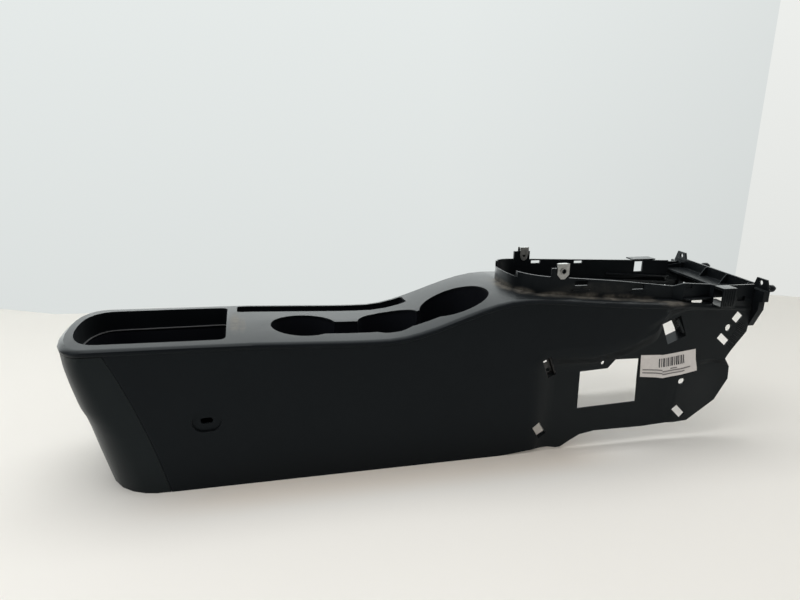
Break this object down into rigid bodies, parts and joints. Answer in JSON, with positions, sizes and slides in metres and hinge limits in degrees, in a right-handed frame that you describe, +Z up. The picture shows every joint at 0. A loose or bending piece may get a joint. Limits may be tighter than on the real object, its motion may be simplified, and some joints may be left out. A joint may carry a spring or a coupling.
{
  "type": "car centre console",
  "caption": "Long moulded car centre console with a rear tray, joined cup holders, a slim side slot and a raised gear aperture, closed by a rear panel and a front carrier.",
  "frame": {"origin": "middle of the overall box in plan, on the floor that the console's lower edges stand on", "axes": "+X towards the front of the car, +Y across to the side with the slot, +Z up"},
  "size_m": [0.9284, 0.194, 0.2478],
  "materials": {
    "grained_black": "fine moulded grain",
    "panel_black": "fine moulded grain",
    "bin_black": "matt",
    "insert_black": "matt",
    "pocket_black": "matt",
    "carrier_black": "satin moulded",
    "spring_steel": "dull plated",
    "screw_steel": "dull plated"
  },
  "bodies": {
    "root": {"console_body": "grained_black", "rear_panel": "panel_black", "tray_bin": "bin_black", "cup_insert": "insert_black", "slot_pocket": "pocket_black", "front_carrier": "carrier_black", "ring_clip_near": "spring_steel", "ring_clip_far": "spring_steel", "side_clip_near": "spring_steel", "side_clip_far": "spring_steel", "tray_screw_1": "screw_steel", "tray_screw_2": "screw_steel", "tray_screw_3": "screw_steel", "tray_screw_4": "screw_steel", "cup_screw_1": "screw_steel", "cup_screw_2": "screw_steel", "cup_screw_3": "screw_steel", "cup_screw_4": "screw_steel", "slot_screw_1": "screw_steel", "slot_screw_2": "screw_steel"}
  },
  "joints": []
}
